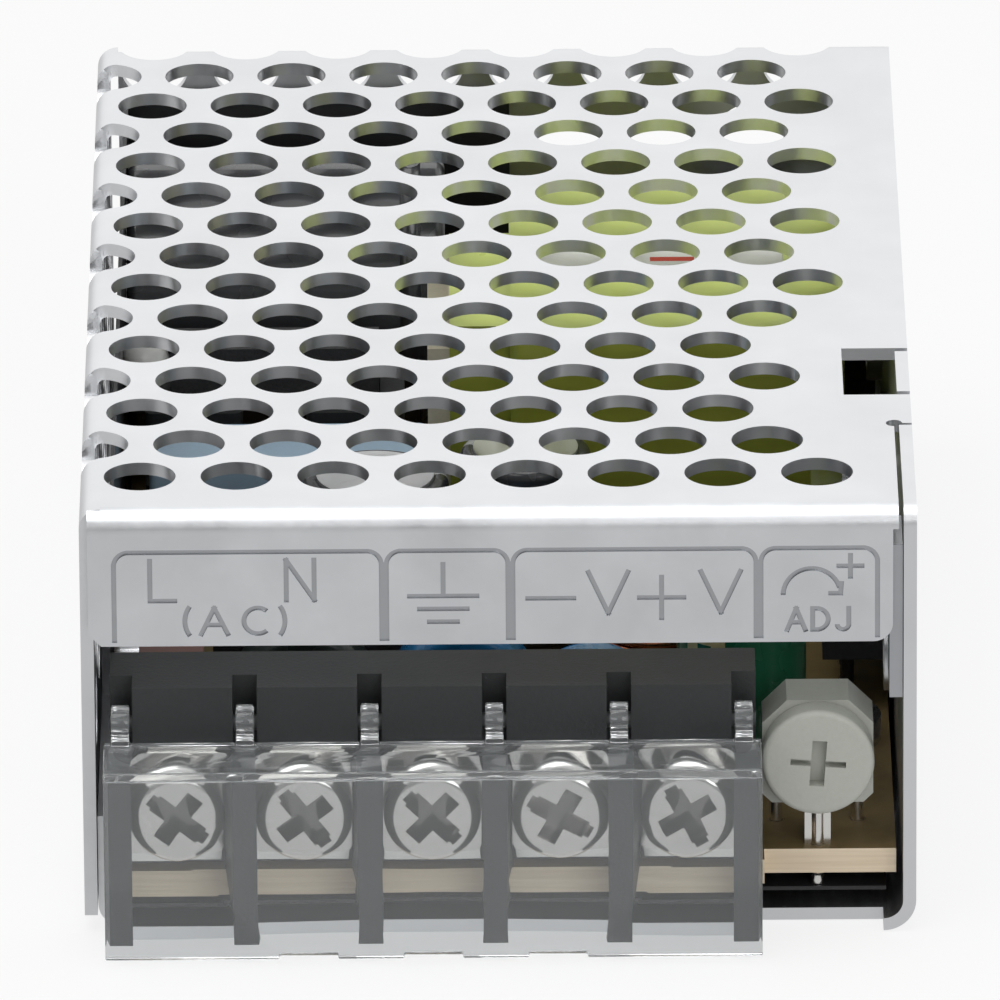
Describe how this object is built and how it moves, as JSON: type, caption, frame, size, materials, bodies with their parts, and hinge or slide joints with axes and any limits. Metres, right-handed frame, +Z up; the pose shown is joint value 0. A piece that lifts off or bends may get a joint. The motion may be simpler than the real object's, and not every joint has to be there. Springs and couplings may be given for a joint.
{
  "type": "mesh case switching power supply",
  "caption": "Enclosed switching power supply: folded sheet base and wall under a perforated cover, screw terminals behind a clear hinged lid, and a voltage trimmer.",
  "frame": {"origin": "on the underside of the base, below the middle of the case", "axes": "+X to the right seen from the terminals, +Y from the terminals to the rear wall, +Z up"},
  "size_m": [0.051, 0.083, 0.028],
  "materials": {
    "zinc_sheet": "galvanised, satin",
    "fastener_steel": "zinc plated",
    "insulating_film": "smooth film",
    "board_laminate": "tan paper laminate",
    "black_plastic": "moulded",
    "tinned_metal": "tin plated",
    "white_plastic": "milky",
    "brown_plastic": "moulded",
    "dark_coating": "dipped",
    "blue_coating": "dipped",
    "light_blue_plastic": "moulded",
    "black_epoxy": "moulded",
    "black_sleeve": "shrunk sleeve",
    "green_sleeve": "shrunk sleeve",
    "ferrite": "sintered",
    "enamelled_copper": "enamelled",
    "cream_plastic": "moulded",
    "yellow_tape": "polyester tape",
    "resistor_coating": "lacquered",
    "silicone_pad": "soft",
    "clear_plastic": "clear polycarbonate",
    "nickel_screw": "nickel plated"
  },
  "bodies": {
    "case": {"chassis": "zinc_sheet", "mesh_cover_top": "zinc_sheet", "mesh_cover_front": "zinc_sheet", "mesh_cover_left": "zinc_sheet", "mesh_cover_rear": "zinc_sheet", "cover_screws": "fastener_steel", "insulation_sheet": "insulating_film", "circuit_board": "board_laminate", "board_screws": "fastener_steel", "terminal_block": "black_plastic", "terminal_plates": "tinned_metal", "trim_pot_body": "white_plastic", "trim_pot_pins": "tinned_metal", "fuse": "brown_plastic", "thermistor": "dark_coating", "y_capacitors": "blue_coating", "x_capacitor": "light_blue_plastic", "bridge_rectifier": "black_epoxy", "main_capacitor": "black_sleeve", "line_choke_core": "ferrite", "line_choke_bobbin": "black_plastic", "line_choke_windings": "enamelled_copper", "transformer_core": "ferrite", "transformer_bobbin": "cream_plastic", "transformer_winding": "enamelled_copper", "transformer_tape": "yellow_tape", "output_capacitor_1": "green_sleeve", "output_capacitor_2": "black_sleeve", "start_capacitor": "black_sleeve", "supply_capacitor": "black_sleeve", "output_inductor_core": "ferrite", "output_inductor_winding": "enamelled_copper", "optocoupler": "white_plastic", "control_chip": "black_epoxy", "resistors": "resistor_coating", "power_transistor": "black_epoxy", "output_diode": "black_epoxy", "thermal_pads": "silicone_pad", "device_clips": "fastener_steel", "clip_screws": "fastener_steel"},
    "terminal_lid": {"terminal_cover": "clear_plastic"},
    "adjuster": {"trim_pot_rotor": "white_plastic"},
    "washer_1": {"clamp_washer_1": "nickel_screw"},
    "screw_1": {"terminal_screw_1": "nickel_screw"},
    "washer_2": {"clamp_washer_2": "nickel_screw"},
    "screw_2": {"terminal_screw_2": "nickel_screw"},
    "washer_3": {"clamp_washer_3": "nickel_screw"},
    "screw_3": {"terminal_screw_3": "nickel_screw"},
    "washer_4": {"clamp_washer_4": "nickel_screw"},
    "screw_4": {"terminal_screw_4": "nickel_screw"},
    "washer_5": {"clamp_washer_5": "nickel_screw"},
    "screw_5": {"terminal_screw_5": "nickel_screw"}
  },
  "joints": [
    {"name": "terminal_cover_hinge", "type": "hinge", "parent": "case", "child": "terminal_lid", "pos_m": [0, -0.038, 0.0138], "axis": [-1, 0, 0], "range_deg": [0, 85]},
    {"name": "adjuster_turn", "type": "hinge", "parent": "case", "child": "adjuster", "pos_m": [0.0195, -0.0386, 0.011], "axis": [0, 1, 0], "range_deg": [-135, 135]},
    {"name": "clamp_travel_1", "type": "slide", "parent": "case", "child": "washer_1", "axis": [0, -1, 0], "range_m": [0, 0.002]},
    {"name": "screw_turn_1", "type": "hinge", "parent": "washer_1", "child": "screw_1", "pos_m": [-0.01934, -0.0411, 0.00885], "axis": [0, -1, 0], "range_deg": [0, 1440.01]},
    {"name": "clamp_travel_2", "type": "slide", "parent": "case", "child": "washer_2", "axis": [0, -1, 0], "range_m": [0, 0.002]},
    {"name": "screw_turn_2", "type": "hinge", "parent": "washer_2", "child": "screw_2", "pos_m": [-0.01172, -0.0411, 0.00885], "axis": [0, -1, 0], "range_deg": [0, 1440.01]},
    {"name": "clamp_travel_3", "type": "slide", "parent": "case", "child": "washer_3", "axis": [0, -1, 0], "range_m": [0, 0.002]},
    {"name": "screw_turn_3", "type": "hinge", "parent": "washer_3", "child": "screw_3", "pos_m": [-0.0041, -0.0411, 0.00885], "axis": [0, -1, 0], "range_deg": [0, 1440.01]},
    {"name": "clamp_travel_4", "type": "slide", "parent": "case", "child": "washer_4", "axis": [0, -1, 0], "range_m": [0, 0.002]},
    {"name": "screw_turn_4", "type": "hinge", "parent": "washer_4", "child": "screw_4", "pos_m": [0.00352, -0.0411, 0.00885], "axis": [0, -1, 0], "range_deg": [0, 1440.01]},
    {"name": "clamp_travel_5", "type": "slide", "parent": "case", "child": "washer_5", "axis": [0, -1, 0], "range_m": [0, 0.002]},
    {"name": "screw_turn_5", "type": "hinge", "parent": "washer_5", "child": "screw_5", "pos_m": [0.01114, -0.0411, 0.00885], "axis": [0, -1, 0], "range_deg": [0, 1440.01]}
  ],
  "couplings": [
    {"joint": "screw_turn_1", "follows": "clamp_travel_1", "rad_per_m": 12566},
    {"joint": "screw_turn_2", "follows": "clamp_travel_2", "rad_per_m": 12566},
    {"joint": "screw_turn_3", "follows": "clamp_travel_3", "rad_per_m": 12566},
    {"joint": "screw_turn_4", "follows": "clamp_travel_4", "rad_per_m": 12566},
    {"joint": "screw_turn_5", "follows": "clamp_travel_5", "rad_per_m": 12566}
  ]
}
